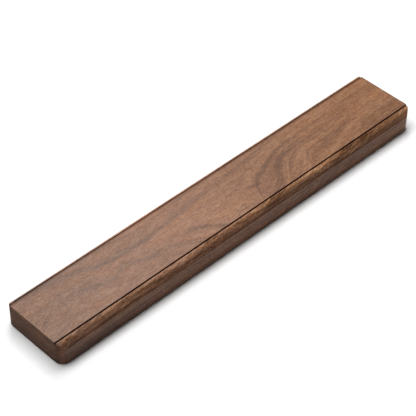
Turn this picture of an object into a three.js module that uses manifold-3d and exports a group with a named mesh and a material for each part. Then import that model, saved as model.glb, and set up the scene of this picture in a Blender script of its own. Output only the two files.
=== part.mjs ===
// Wall-mounted magnetic knife holder: a solid walnut bar, routed out from behind for two rows of
// block magnets, closed with a let-in back cover and hung on two keyhole plates.
//
// Millimetres. The bar lies on its back: +X runs along its length, +Y points to the edge that is
// uppermost on the wall, and +Z points out of the front face that holds the knives. The origin is
// the centre of the plane that the four silicone pads stand on.

import * as THREE from 'three';
import { mergeVertices } from 'three/addons/utils/BufferGeometryUtils.js';
import Module from 'manifold-3d';

const wasm = await Module();
wasm.setup();

// ---------------------------------------------------------------- driving dimensions

const BAR_LENGTH = 400;
const BAR_WIDTH = 65;
const BAR_THICKNESS = 22.6;
const CORNER_RADIUS = 8; // upright corners of the bar
const BACK_ARRIS = 0.8; // small chamfer round the back

// Moulded band along both long edges: a narrow groove beside the face, then a convex curve that
// starts nearly level, just lower than the face, and steepens down to a crease in the side.
const BAND_WIDTH = 6.4;
const GROOVE_WIDTH = 1.1;
const GROOVE_DEPTH = 1.6; // below the face
const BAND_STEP = 0.2;
const BAND_DROP = 7.1;
const BAND_TOP_TILT = 8; // degrees from level beside the groove
const BAND_CREASE_TILT = 72;
const BAND_FULLNESS = 0.64; // how closely the curve fills the corner between those two slopes

const PAD_PROUD = 0.6; // how far the pads stand out behind the wood
const FIT_GAP = 0.3; // clearance round let-in pieces
const GLUE_GAP = 0.1; // glue line between stacked pieces

const COVER_LENGTH = 335;
const COVER_WIDTH = 49;
const COVER_THICKNESS = 3;
const COVER_RADIUS = 5;

const FRONT_SKIN = 2.6; // wood left between the magnets and the knives
const ROW_OFFSET = 12.5; // each magnet row's distance from the centre line
const INSERT_LENGTH = 326; // steel strip and batten
const INSERT_WIDTH = 10;
const MAGNETS_PER_ROW = 8;
const MAGNET_PITCH = 40;
const MAGNET_LENGTH = 25;
const MAGNET_THICKNESS = 3;
const MAGNET_EDGE = 0.3;
const STRIP_THICKNESS = 1.6;

const HANGER_X = 183;
const HANGER_WIDTH = 16;
const HANGER_HEIGHT = 40;
const HANGER_THICKNESS = 1.5;
const HANGER_RADIUS = 4;
const HANGER_SCREW_Y = 15.5;
const KEYHOLE_ENTRY_DIAMETER = 9;
const KEYHOLE_SLOT_WIDTH = 5;
const KEYHOLE_TRAVEL = 10; // from the entry's centre to the slot's end centre
const HEAD_POCKET_WIDTH = 10.4;
const HEAD_POCKET_DEPTH = 5;

const COVER_SCREW = { headDiameter: 4.8, headHeight: 1.3, shankDiameter: 2.5, length: 10 };
const HANGER_SCREW = { headDiameter: 6, headHeight: 1.6, shankDiameter: 3, length: 12 };
const SCREW_POINT = 2;
const SCREW_GAP = 0.2; // clearance round screws in their holes
const COVER_SCREW_X = [-150, 0, 150];
const COVER_SCREW_Y = 21.2;

const PAD_DIAMETER = 9;
const PAD_THICKNESS = 1.2;
const PAD_EDGE = 0.25;
const PAD_Y = 26.3;

const ROUND_SEGMENTS = 24; // round a turned piece
const ARC_DIVISIONS = 6; // an arc of an outline gets twice as many straight pieces
const CUT_MARGIN = 2; // how far a cutter runs past the face that it opens

// Heights that follow from the sizes above.
const BACK_Z = PAD_PROUD;
const FRONT_Z = BACK_Z + BAR_THICKNESS;
const CREASE_Z = FRONT_Z - BAND_STEP - BAND_DROP;
const COVER_SEAT_Z = BACK_Z + COVER_THICKNESS + GLUE_GAP;
const MAGNET_Z = FRONT_Z - FRONT_SKIN - GLUE_GAP - MAGNET_THICKNESS;
const STRIP_Z = MAGNET_Z - GLUE_GAP - STRIP_THICKNESS;
const BATTEN_Z = COVER_SEAT_Z + GLUE_GAP;
const BATTEN_THICKNESS = STRIP_Z - GLUE_GAP - BATTEN_Z;
const HANGER_SEAT_Z = BACK_Z + HANGER_THICKNESS + GLUE_GAP;

// ---------------------------------------------------------------- materials

const finish = (color, roughness, metalness) =>
  new THREE.MeshStandardMaterial({ color, roughness, metalness });

const newWalnut = () => finish(0x8a6450, 0.55, 0);
const newCoverWood = () => finish(0x7c5a47, 0.6, 0);
const newBattenWood = () => finish(0xb99a72, 0.7, 0);
const newNickel = () => finish(0xc9c7c2, 0.2, 1);
const newStripSteel = () => finish(0x8f9194, 0.45, 1);
const newHangerSteel = () => finish(0xb4b6b8, 0.35, 1);
const newScrewSteel = () => finish(0xc2b98f, 0.35, 1);
const newSilicone = () => finish(0xd9d9d6, 0.6, 0);

// ---------------------------------------------------------------- solids

function toSolid(geometry) {
  const bare = geometry.clone();
  bare.deleteAttribute('normal');
  bare.deleteAttribute('uv');
  const welded = mergeVertices(bare, 1e-4);
  const vertProperties = new Float32Array(welded.attributes.position.array);
  const triVerts = new Uint32Array(welded.index.array);
  return new wasm.Manifold(new wasm.Mesh({ numProp: 3, vertProperties, triVerts }));
}

function toGeometry(solid) {
  const mesh = solid.getMesh();
  const geometry = new THREE.BufferGeometry();
  geometry.setAttribute('position', new THREE.BufferAttribute(mesh.vertProperties, 3));
  geometry.setIndex(new THREE.BufferAttribute(mesh.triVerts, 1));
  geometry.computeVertexNormals();
  return geometry;
}

function cutAway(geometry, cutters) {
  const solid = cutters.reduce((rest, cutter) => rest.subtract(toSolid(cutter)), toSolid(geometry));
  return toGeometry(solid);
}

function roundedRectangle(width, height, radius) {
  const x = width / 2 - radius;
  const y = height / 2 - radius;
  const quarter = Math.PI / 2;
  const shape = new THREE.Shape();
  shape.absarc(x, y, radius, 0, quarter, false);
  shape.absarc(-x, y, radius, quarter, 2 * quarter, false);
  shape.absarc(-x, -y, radius, 2 * quarter, 3 * quarter, false);
  shape.absarc(x, -y, radius, 3 * quarter, 4 * quarter, false);
  return shape;
}

// An upright prism of the shape, with its lower face at height z.
function prism(shape, x, y, z, height) {
  const geometry = new THREE.ExtrudeGeometry(shape, {
    depth: height,
    bevelEnabled: false,
    curveSegments: ARC_DIVISIONS,
  });
  return geometry.translate(x, y, z);
}

// A cutter that enters from behind the bar and stops at height top.
function cutFromBack(shape, x, y, top) {
  return prism(shape, x, y, BACK_Z - CUT_MARGIN, top - BACK_Z + CUT_MARGIN);
}

// A slot with round ends, its overall length along X.
function stadium(length, width) {
  const x = (length - width) / 2;
  const shape = new THREE.Shape();
  shape.absarc(x, 0, width / 2, -Math.PI / 2, Math.PI / 2, false);
  shape.absarc(-x, 0, width / 2, Math.PI / 2, 1.5 * Math.PI, false);
  return shape;
}

const circle = (diameter) => stadium(diameter, diameter);

// A body turned about the upright axis from [radius, height] points that start and end on it.
function turned(profile) {
  const points = profile.map(([radius, height]) => new THREE.Vector2(radius, height));
  return new THREE.LatheGeometry(points, ROUND_SEGMENTS).rotateX(Math.PI / 2);
}

// ---------------------------------------------------------------- screws

// Countersunk screw with its head's outer face at height 0 and its point towards +Z.
function screwProfile(screw, gap) {
  const head = screw.headDiameter / 2 + gap;
  const shank = screw.shankDiameter / 2 + gap;
  const tip = screw.length + gap;
  return [
    [0, 0],
    [head, 0],
    [shank, screw.headHeight + gap],
    [shank, tip - SCREW_POINT],
    [0, tip],
  ];
}

function screwGeometry(screw) {
  const blade = screw.headDiameter * 0.16;
  const span = screw.headDiameter * 0.56;
  const depth = screw.headHeight * 0.9;
  const recess = [
    new THREE.BoxGeometry(span, blade, 2 * depth),
    new THREE.BoxGeometry(blade, span, 2 * depth),
  ];
  return cutAway(turned(screwProfile(screw, 0)), recess);
}

// The hole for that screw, open past the outer face.
function screwHole(screw, x, y) {
  const profile = screwProfile(screw, SCREW_GAP);
  const mouth = profile[1][0];
  profile.splice(0, 1, [0, -CUT_MARGIN], [mouth, -CUT_MARGIN]);
  return turned(profile).translate(x, y, BACK_Z);
}

const hangerScrewPlaces = [
  ['left_lower', -HANGER_X, -HANGER_SCREW_Y],
  ['left_upper', -HANGER_X, HANGER_SCREW_Y],
  ['right_lower', HANGER_X, -HANGER_SCREW_Y],
  ['right_upper', HANGER_X, HANGER_SCREW_Y],
];

const coverScrewPlaces = COVER_SCREW_X.flatMap((x) => [
  [x, -COVER_SCREW_Y],
  [x, COVER_SCREW_Y],
]);

const padPlaces = [
  ['left_lower', -HANGER_X, -PAD_Y],
  ['left_upper', -HANGER_X, PAD_Y],
  ['right_lower', HANGER_X, -PAD_Y],
  ['right_upper', HANGER_X, PAD_Y],
];

// ---------------------------------------------------------------- walnut bar

// The bar's outline as an upright block, chamfered round its lower edge only: its upper chamfer
// lies above the front face and is cut off with the rest.
function barBlock() {
  const inner = roundedRectangle(
    BAR_LENGTH - 2 * BACK_ARRIS,
    BAR_WIDTH - 2 * BACK_ARRIS,
    CORNER_RADIUS - BACK_ARRIS,
  );
  const block = new THREE.ExtrudeGeometry(inner, {
    depth: BAR_THICKNESS + CUT_MARGIN,
    bevelEnabled: true,
    bevelThickness: BACK_ARRIS,
    bevelSize: BACK_ARRIS,
    bevelSegments: 1,
    curveSegments: ARC_DIVISIONS,
  });
  return block.translate(0, 0, BACK_Z + BACK_ARRIS);
}

// The four control points of the band's curve, on the +Y side, from the crease up to the groove.
function bandCurve() {
  const crease = new THREE.Vector2(BAR_WIDTH / 2, CREASE_Z);
  const foot = new THREE.Vector2(BAR_WIDTH / 2 - BAND_WIDTH + GROOVE_WIDTH, FRONT_Z - BAND_STEP);
  const gentle = Math.tan(THREE.MathUtils.degToRad(BAND_TOP_TILT));
  const steep = Math.tan(THREE.MathUtils.degToRad(BAND_CREASE_TILT));
  const run = crease.x - foot.x;
  const reach = (steep * run - (foot.y - crease.y)) / (steep - gentle);
  const corner = new THREE.Vector2(foot.x + reach, foot.y - gentle * reach);
  return [
    crease,
    crease.clone().lerp(corner, BAND_FULLNESS),
    foot.clone().lerp(corner, BAND_FULLNESS),
    foot,
  ];
}

// The bar's cross-section, in Y and Z, run out past the sides and the back.
function barSection() {
  const [crease, low, high, foot] = bandCurve();
  const outside = BAR_WIDTH / 2 + CUT_MARGIN;
  const field = BAR_WIDTH / 2 - BAND_WIDTH;
  const grooveZ = FRONT_Z - GROOVE_DEPTH;
  const shape = new THREE.Shape();
  shape.moveTo(-outside, BACK_Z - CUT_MARGIN);
  shape.lineTo(outside, BACK_Z - CUT_MARGIN);
  shape.lineTo(outside, CREASE_Z);
  shape.lineTo(crease.x, CREASE_Z);
  shape.bezierCurveTo(low.x, low.y, high.x, high.y, foot.x, foot.y);
  shape.lineTo(foot.x, grooveZ);
  shape.lineTo(field, grooveZ);
  shape.lineTo(field, FRONT_Z);
  shape.lineTo(-field, FRONT_Z);
  shape.lineTo(-field, grooveZ);
  shape.lineTo(-foot.x, grooveZ);
  shape.lineTo(-foot.x, foot.y);
  shape.bezierCurveTo(-high.x, high.y, -low.x, low.y, -crease.x, CREASE_Z);
  shape.lineTo(-outside, CREASE_Z);
  shape.closePath();
  return shape;
}

function barSectionPrism() {
  const length = BAR_LENGTH + 2 * CUT_MARGIN;
  const geometry = prism(barSection(), 0, 0, -length / 2, length);
  const sectionToBar = new THREE.Matrix4().makeBasis(
    new THREE.Vector3(0, 1, 0),
    new THREE.Vector3(0, 0, 1),
    new THREE.Vector3(1, 0, 0),
  );
  return geometry.applyMatrix4(sectionToBar);
}

function magnetSlotCutter(side) {
  const slot = stadium(INSERT_LENGTH + 2 * FIT_GAP, INSERT_WIDTH + 2 * FIT_GAP);
  return cutFromBack(slot, 0, side * ROW_OFFSET, FRONT_Z - FRONT_SKIN);
}

function coverSeatCutter() {
  const seat = roundedRectangle(
    COVER_LENGTH + 2 * FIT_GAP,
    COVER_WIDTH + 2 * FIT_GAP,
    COVER_RADIUS + FIT_GAP,
  );
  return cutFromBack(seat, 0, 0, COVER_SEAT_Z);
}

// The shallow seat for a hanger plate, and the deeper pocket where the wall screw's head slides.
function hangerCutters(x) {
  const seat = roundedRectangle(
    HANGER_WIDTH + 2 * FIT_GAP,
    HANGER_HEIGHT + 2 * FIT_GAP,
    HANGER_RADIUS + FIT_GAP,
  );
  const pocket = stadium(KEYHOLE_TRAVEL + HEAD_POCKET_WIDTH, HEAD_POCKET_WIDTH);
  const pocketTop = HANGER_SEAT_Z + HEAD_POCKET_DEPTH;
  const pocketHeight = pocketTop - BACK_Z + CUT_MARGIN;
  return [
    cutFromBack(seat, x, 0, HANGER_SEAT_Z),
    prism(pocket, 0, 0, BACK_Z - CUT_MARGIN, pocketHeight).rotateZ(Math.PI / 2).translate(x, 0, 0),
  ];
}

function walnutBar() {
  const blank = toGeometry(toSolid(barBlock()).intersect(toSolid(barSectionPrism())));
  const padSeat = circle(PAD_DIAMETER + 2 * FIT_GAP);
  const padSeatTop = PAD_THICKNESS + GLUE_GAP;
  return cutAway(blank, [
    coverSeatCutter(),
    magnetSlotCutter(-1),
    magnetSlotCutter(1),
    ...hangerCutters(-HANGER_X),
    ...hangerCutters(HANGER_X),
    ...hangerScrewPlaces.map(([, x, y]) => screwHole(HANGER_SCREW, x, y)),
    ...coverScrewPlaces.map(([x, y]) => screwHole(COVER_SCREW, x, y)),
    ...padPlaces.map(([, x, y]) => cutFromBack(padSeat, x, y, padSeatTop)),
  ]);
}

// ---------------------------------------------------------------- pieces let in from behind

function backCover() {
  const panel = prism(
    roundedRectangle(COVER_LENGTH, COVER_WIDTH, COVER_RADIUS),
    0,
    0,
    BACK_Z,
    COVER_THICKNESS,
  );
  return cutAway(
    panel,
    coverScrewPlaces.map(([x, y]) => screwHole(COVER_SCREW, x, y)),
  );
}

function insert(side, z, thickness) {
  return prism(stadium(INSERT_LENGTH, INSERT_WIDTH), 0, side * ROW_OFFSET, z, thickness);
}

function magnetBlock() {
  const face = roundedRectangle(
    MAGNET_LENGTH - 2 * MAGNET_EDGE,
    INSERT_WIDTH - 2 * MAGNET_EDGE,
    MAGNET_EDGE,
  );
  const block = new THREE.ExtrudeGeometry(face, {
    depth: MAGNET_THICKNESS - 2 * MAGNET_EDGE,
    bevelEnabled: true,
    bevelThickness: MAGNET_EDGE,
    bevelSize: MAGNET_EDGE,
    bevelSegments: 1,
    curveSegments: 1,
  });
  return block.translate(0, 0, MAGNET_EDGE);
}

// Keyhole plate: the wall screw's head goes in at the round entry and slides up into the slot.
function hangerPlate(x) {
  const plate = prism(
    roundedRectangle(HANGER_WIDTH, HANGER_HEIGHT, HANGER_RADIUS),
    x,
    0,
    BACK_Z,
    HANGER_THICKNESS,
  );
  const through = HANGER_SEAT_Z + CUT_MARGIN;
  const slot = prism(
    stadium(KEYHOLE_TRAVEL + KEYHOLE_SLOT_WIDTH, KEYHOLE_SLOT_WIDTH),
    0,
    0,
    BACK_Z - CUT_MARGIN,
    through - BACK_Z + CUT_MARGIN,
  );
  return cutAway(plate, [
    cutFromBack(circle(KEYHOLE_ENTRY_DIAMETER), x, -KEYHOLE_TRAVEL / 2, through),
    slot.rotateZ(Math.PI / 2).translate(x, 0, 0),
    screwHole(HANGER_SCREW, x, -HANGER_SCREW_Y),
    screwHole(HANGER_SCREW, x, HANGER_SCREW_Y),
  ]);
}

function siliconePad() {
  const radius = PAD_DIAMETER / 2;
  return turned([
    [0, 0],
    [radius - PAD_EDGE, 0],
    [radius, PAD_EDGE],
    [radius, PAD_THICKNESS],
    [0, PAD_THICKNESS],
  ]);
}

// ---------------------------------------------------------------- assembly

const holder = new THREE.Group();

function addPart(name, geometry, material, x = 0, y = 0, z = 0) {
  const mesh = new THREE.Mesh(geometry, material);
  mesh.name = name;
  mesh.position.set(x, y, z);
  holder.add(mesh);
}

addPart('walnut_bar', walnutBar(), newWalnut());
addPart('back_cover', backCover(), newCoverWood());

for (const [row, side] of [['lower', -1], ['upper', 1]]) {
  addPart(`steel_strip_${row}`, insert(side, STRIP_Z, STRIP_THICKNESS), newStripSteel());
  addPart(`batten_${row}`, insert(side, BATTEN_Z, BATTEN_THICKNESS), newBattenWood());
  for (let i = 0; i < MAGNETS_PER_ROW; i += 1) {
    const x = (i - (MAGNETS_PER_ROW - 1) / 2) * MAGNET_PITCH;
    addPart(`magnet_${row}_${i + 1}`, magnetBlock(), newNickel(), x, side * ROW_OFFSET, MAGNET_Z);
  }
}

addPart('hanger_plate_left', hangerPlate(-HANGER_X), newHangerSteel());
addPart('hanger_plate_right', hangerPlate(HANGER_X), newHangerSteel());

for (const [place, x, y] of hangerScrewPlaces) {
  addPart(`hanger_screw_${place}`, screwGeometry(HANGER_SCREW), newScrewSteel(), x, y, BACK_Z);
}

coverScrewPlaces.forEach(([x, y], i) => {
  addPart(`cover_screw_${i + 1}`, screwGeometry(COVER_SCREW), newScrewSteel(), x, y, BACK_Z);
});

for (const [place, x, y] of padPlaces) {
  addPart(`pad_${place}`, siliconePad(), newSilicone(), x, y, 0);
}

export default holder;
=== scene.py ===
"""A walnut magnetic knife holder lying on its back on a white studio floor.

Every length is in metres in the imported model's frame: +X along the bar, +Z out of its front face.
"""

import math

import bmesh
import bpy
from mathutils import Matrix, Vector


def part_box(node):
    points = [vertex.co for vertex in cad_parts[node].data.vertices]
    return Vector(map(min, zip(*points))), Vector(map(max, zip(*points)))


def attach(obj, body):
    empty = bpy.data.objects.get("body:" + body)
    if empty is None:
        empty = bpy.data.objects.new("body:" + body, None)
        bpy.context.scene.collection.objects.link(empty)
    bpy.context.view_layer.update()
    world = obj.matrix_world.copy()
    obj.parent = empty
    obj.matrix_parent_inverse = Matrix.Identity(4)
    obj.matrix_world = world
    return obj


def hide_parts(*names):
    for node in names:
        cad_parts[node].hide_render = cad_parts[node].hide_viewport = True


MM = 0.001
BODY = "root"

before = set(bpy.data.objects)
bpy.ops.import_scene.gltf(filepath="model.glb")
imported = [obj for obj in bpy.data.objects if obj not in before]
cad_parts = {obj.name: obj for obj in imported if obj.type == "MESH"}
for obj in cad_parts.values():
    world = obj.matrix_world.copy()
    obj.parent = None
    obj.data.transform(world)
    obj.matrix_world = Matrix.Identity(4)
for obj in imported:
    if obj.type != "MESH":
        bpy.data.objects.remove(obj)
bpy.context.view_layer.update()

# ------------------------------------------------------------------ sizes

BAR_LOW, BAR_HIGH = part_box("walnut_bar")
HALF_LENGTH = BAR_HIGH.x
HALF_WIDTH = BAR_HIGH.y
BACK_Z = BAR_LOW.z
FRONT_Z = BAR_HIGH.z

CORNER_RADIUS = 8 * MM
BACK_ARRIS = 0.8 * MM
BAND_WIDTH = 6.4 * MM
GROOVE_WIDTH = 1.1 * MM  # beside the face
GROOVE_DEPTH = 1.6 * MM
BAND_STEP = 0.2 * MM  # from the face down to the top of the moulding
BAND_DROP = 7.1 * MM
BAND_TOP_TILT = 8  # degrees from level where the moulding starts
BAND_CREASE_TILT = 72  # and where it meets the side
BAND_FULLNESS = 0.64
CREASE_Z = FRONT_Z - BAND_STEP - BAND_DROP
FOOT_Y = HALF_WIDTH - BAND_WIDTH
BEAD_Y = FOOT_Y + GROOVE_WIDTH
STRAIGHT_X = HALF_LENGTH - CORNER_RADIUS  # where the rounded corners begin
STRAIGHT_Y = HALF_WIDTH - CORNER_RADIUS

EDGE_ROUND = 0.2 * MM  # worn top edge at the ends
GROOVE_ROUND = 0.12 * MM  # worn edges of the groove
FIT_GAP = 0.3 * MM
MOUTH_FLARE = 0.2 * MM  # sanded edges of what is routed into the back

GLUE_GAP = 0.1 * MM
SCREW_GAP = 0.2 * MM
SCREW_POINT = 2 * MM
HANGER_SCREW = (1.5 * MM, 1.6 * MM)  # radius of the shank and depth of the countersunk head
COVER_SCREW = (1.25 * MM, 1.3 * MM)
COVER_RADIUS = 5 * MM
HANGER_RADIUS = 4 * MM
FRONT_SKIN = 2.6 * MM
HEAD_POCKET_HALF = 5.2 * MM
HEAD_POCKET_DEPTH = 5 * MM
KEYHOLE_TRAVEL = 10 * MM
ENTRY_RADIUS = 4.5 * MM
SLOT_HALF = 2.5 * MM
KEYHOLE_FLARE = 0.15 * MM

BAND_STEPS = 24
LENGTH_STEPS = 80

# The walnut's colour from the left end of the bar to the right end.
WALNUT = (
    (0.0, (0.190, 0.089, 0.046)),
    (0.25, (0.218, 0.096, 0.047)),
    (0.42, (0.225, 0.0975, 0.0455)),
    (0.6, (0.240, 0.108, 0.049)),
    (1.0, (0.249, 0.112, 0.049)),
)
# What the wood's tone, from dark to light, multiplies its colour by, at the left and the right.
GREY_TONES = (
    (0.0, (0.38, 0.44, 0.50)),
    (0.25, (0.565, 0.62, 0.68)),
    (0.5, (0.77, 0.77, 0.77)),
    (0.75, (0.94, 0.91, 0.86)),
    (1.0, (1.0, 0.97, 0.91)),
)
BROWN_TONES = (
    (0.0, (0.38, 0.35, 0.34)),
    (0.25, (0.57, 0.545, 0.54)),
    (0.5, (0.77, 0.77, 0.77)),
    (0.75, (0.93, 0.95, 0.96)),
    (1.0, (1.0, 1.04, 1.06)),
)

# Pairs that the wood's colour is multiplied by, as noise runs from its low to its high values.
COOL_TINT = (0.985, 1.04, 1.17, 1)  # whole growth layers
WARM_TINT = (1.015, 0.97, 0.85, 1)
DARK_FLECK = (0.81, 0.73, 0.66, 1)  # flecks about two millimetres long
LIGHT_FLECK = (1.19, 1.27, 1.35, 1)
DARK_MOTTLE = (0.92, 0.86, 0.80, 1)  # soft spots under a centimetre long
LIGHT_MOTTLE = (1.08, 1.14, 1.20, 1)
DARK_FIBRE = (0.38, 0.31, 0.27, 1)  # slanting fibres on the moulding
LIGHT_FIBRE = (1.68, 1.80, 1.95, 1)
DARK_BAND = (0.66, 0.58, 0.52, 1)  # level bands along the sides
LIGHT_BAND = (1.28, 1.36, 1.42, 1)

# What it is multiplied by in one place, chosen to match the photograph under this light.
END_GRAIN = (0.79, 0.74, 0.72)
SIDE_TINT = (0.97, 0.86, 0.76, 1)
# Painted shade low on the near side towards the left end, darkest next to the floor.
LOW_LEFT_SHADE_TINT = (0.62, 0.56, 0.54, 1)  # low on the near side, towards the left end
# Painted shade on the upright corners: less green and blue, which dulls the grey of their sheen.
CORNER_SHADE_TINT = (1.02, 0.80, 0.68, 1)  # the upright corners
# Painted shade at the foot of the moulding, where it meets the side.
CREASE_SHADE_TINT = (0.68, 0.54, 0.44, 1)  # foot of the moulding
# Painted highlight on the top of the near moulding, standing in for the softbox's reflection there.
NEAR_TOP_HIGHLIGHT_TINT = (1.56, 1.74, 1.96, 1)  # top of the near moulding
# Painted shade that darkens the near groove almost to black.
GROOVE_SHADE_TINT = (0.22, 0.11, 0.07, 1)
# Painted shade along the face's edge beside the far groove.
FAR_EDGE_SHADE_TINT = (0.56, 0.46, 0.40, 1)  # edge of the face at the far groove
# Painted light that brightens and greys the far groove and the top of the far moulding.
FAR_BAND_LIGHT_TINT = (1.28, 1.40, 1.60, 1)  # top of the far moulding

# How strongly the grain's flecks show, raised so far that they also paint in fine glints, most of
# all on the moulding, sides and ends.
FLECK_AND_GLINT_GAIN = 5.0  # on the face
FLECK_AND_GLINT_GAIN_EDGES = 12.5  # on the moulding, sides and ends
SPECKLE = 1.6
PORE_COLOUR = (0.028, 0.013, 0.008, 1)

# How far each screw's cross has turned when it was driven home, in degrees.
RECESS_TURNS = {
    "cover_screw_1": 12, "cover_screw_2": 67, "cover_screw_3": 38, "cover_screw_4": 81,
    "cover_screw_5": 5, "cover_screw_6": 52, "hanger_screw_left_lower": 24,
    "hanger_screw_left_upper": 73, "hanger_screw_right_lower": 47,
    "hanger_screw_right_upper": 9,
}


# ------------------------------------------------------------------ mesh helpers


def as_object(bm, name):
    mesh = bpy.data.meshes.new(name)
    bm.to_mesh(mesh)
    bm.free()
    made = bpy.data.objects.new(name, mesh)
    bpy.context.scene.collection.objects.link(made)
    return made


def adopt(piece, material, node):
    """Finishes a piece: its material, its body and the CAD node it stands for."""
    piece.data.materials.clear()
    piece.data.materials.append(material)
    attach(piece, BODY)
    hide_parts(node)


def bridge(bm, lower, upper):
    """Quads between two closed rings of the same count, facing outwards if counter-clockwise."""
    count = len(lower)
    for i in range(count):
        j = (i + 1) % count
        bm.faces.new((lower[i], lower[j], upper[j], upper[i]))


def loft(rings, bm=None):
    """A closed solid through rings listed from low to high, counter-clockwise seen from +Z."""
    bm = bm or bmesh.new()
    loops = [[bm.verts.new(point) for point in ring] for ring in rings]
    for lower, upper in zip(loops, loops[1:]):
        bridge(bm, lower, upper)
    bm.faces.new(list(reversed(loops[0])))
    bm.faces.new(loops[-1])
    return bm


def rounded_rectangle(half_x, half_y, radius, steps=10):
    """Counter-clockwise outline about the origin, as (x, y) pairs."""
    points = []
    for quarter, (sx, sy) in enumerate(((1, 1), (-1, 1), (-1, -1), (1, -1))):
        for i in range(steps + 1):
            angle = (quarter + i / steps) * math.pi / 2
            x = sx * (half_x - radius) + radius * math.cos(angle)
            y = sy * (half_y - radius) + radius * math.sin(angle)
            points.append((x, y))
    return points


def ring_at(half_x, half_y, radius, z, centre):
    radius = max(radius, 0.01 * MM)
    outline = rounded_rectangle(half_x, half_y, min(radius, half_x - 1e-6, half_y - 1e-6))
    return [Vector((x + centre.x, y + centre.y, z)) for x, y in outline]


def slab(half_x, half_y, radius, low, high, edge, centre, steps=4):
    """An upright slab with rounded corners, its lower and upper edges rounded by edge."""
    turn = [(i / steps) * math.pi / 2 for i in range(steps + 1)]
    lower = [(edge * (1 - math.sin(a)), low + edge * (1 - math.cos(a))) for a in turn]
    upper = [(inset, low + high - z) for inset, z in reversed(lower)]
    return loft([
        ring_at(half_x - inset, half_y - inset, radius - inset, z, centre)
        for inset, z in lower + upper
    ])


def middle(node):
    low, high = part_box(node)
    return (low + high) / 2


def half_of(node):
    """Half the size of a CAD node's box."""
    low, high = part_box(node)
    return (high - low) / 2


def box_slab(node, radius, edge):
    """A slab that fills the box of a CAD node."""
    low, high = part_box(node)
    half = half_of(node)
    return slab(half.x, half.y, radius, low.z, high.z, edge, middle(node))


def pocket(bm, half_x, half_y, radius, top, centre, flare=None):
    """Adds a cutter that opens a pocket from behind, its mouth flared by sanding."""
    flare = MOUTH_FLARE if flare is None else flare
    rows = ((flare, BACK_Z - 2 * MM), (flare, BACK_Z), (0, BACK_Z + flare), (0, top))
    loft([
        ring_at(half_x + grow, half_y + grow, radius + grow, z, centre) for grow, z in rows
    ], bm)


def turned(bm, profile, centre, steps=48):
    """Adds a body turned about the upright axis, from (radius, z) pairs listed upwards."""
    rings = []
    for radius, z in profile:
        ring = []
        for i in range(steps):
            angle = 2 * math.pi * i / steps
            ring.append((
                centre.x + radius * math.cos(angle),
                centre.y + radius * math.sin(angle),
                z,
            ))
        rings.append(ring)
    loft(rings, bm)


def cut(piece, *cutters):
    """Subtracts each cutter's solid from the piece, then drops the cutters."""
    for bm in cutters:
        tool = as_object(bm, "cutter")
        modifier = piece.modifiers.new("cut", "BOOLEAN")
        modifier.operation = "DIFFERENCE"
        modifier.solver = "EXACT"
        modifier.object = tool
        graph = bpy.context.evaluated_depsgraph_get()
        graph.update()
        baked = bpy.data.meshes.new_from_object(piece.evaluated_get(graph))
        old = piece.data
        piece.modifiers.clear()
        piece.data = baked
        bpy.data.meshes.remove(old)
        bpy.data.objects.remove(tool)


def shade(piece, sharp_angle=35, also_sharp=lambda edge: False):
    """Smooth shading that keeps corners, with normals that follow the large faces."""
    bm = bmesh.new()
    bm.from_mesh(piece.data)
    bmesh.ops.recalc_face_normals(bm, faces=bm.faces)
    limit = math.radians(sharp_angle)
    for face in bm.faces:
        face.smooth = True
    for edge in bm.edges:
        gentle = edge.is_manifold and edge.calc_face_angle(math.pi) < limit
        edge.smooth = gentle and not also_sharp(edge)
    bm.to_mesh(piece.data)
    bm.free()
    modifier = piece.modifiers.new("normals", "WEIGHTED_NORMAL")
    modifier.keep_sharp = True
    modifier.weight = 80


# ------------------------------------------------------------------ the bar


def band_controls():
    """Control points, as (y, z), of the moulding's curve from the groove out to the crease."""
    foot = Vector((BEAD_Y, FRONT_Z - BAND_STEP))
    crease = Vector((HALF_WIDTH, CREASE_Z))
    fall = math.tan(math.radians(BAND_TOP_TILT))
    steep = math.tan(math.radians(BAND_CREASE_TILT))
    run = crease.x - foot.x
    meet_x = (steep * run - (foot.y - crease.y)) / (steep - fall)
    meet = foot + Vector((meet_x, -fall * meet_x))
    return (
        foot,
        foot.lerp(meet, BAND_FULLNESS),
        crease.lerp(meet, BAND_FULLNESS),
        crease,
    )


def band_height(y):
    """Height of the moulding's curve at the distance y from the middle."""
    p0, p1, p2, p3 = band_controls()
    low, high = 0.0, 1.0
    for _ in range(40):
        t = (low + high) / 2
        u = 1 - t
        place = p0 * u**3 + p1 * (3 * u * u * t) + p2 * (3 * u * t * t) + p3 * t**3
        if place.x < y:
            low = t
        else:
            high = t
    return place.y


def half_section():
    """(y, z) of the top surface from the middle of the bar out to the crease."""
    rows = [(FOOT_Y * i / 8, FRONT_Z) for i in range(8)]
    for i in range(4):
        angle = i / 3 * math.pi / 2
        y = FOOT_Y - GROOVE_ROUND * (1 - math.sin(angle))
        z = FRONT_Z - GROOVE_ROUND * (1 - math.cos(angle))
        rows.append((y, z))
    floor = FRONT_Z - GROOVE_DEPTH
    rows += [
        (FOOT_Y, floor + GROOVE_ROUND),
        (FOOT_Y + GROOVE_ROUND, floor),
        (BEAD_Y - 2 * GROOVE_ROUND, floor),
        (BEAD_Y - 0.2 * GROOVE_ROUND, floor + GROOVE_ROUND),
        (BEAD_Y, FRONT_Z - BAND_STEP - GROOVE_ROUND),
    ]
    start = math.asin((BEAD_Y + GROOVE_ROUND - STRAIGHT_Y) / CORNER_RADIUS)
    for i in range(BAND_STEPS + 1):
        angle = start + (math.pi / 2 - start) * i / BAND_STEPS
        y = STRAIGHT_Y + CORNER_RADIUS * math.sin(angle)
        rows.append((y, band_height(min(y, HALF_WIDTH))))
    return rows


def half_length_at(y, inset):
    """How far the outline, moved in by inset, reaches along X at a distance y from the middle."""
    radius = CORNER_RADIUS - inset
    into = max(abs(y) - STRAIGHT_Y, 0)
    return STRAIGHT_X + math.sqrt(max(radius**2 - into**2, 0))


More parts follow.
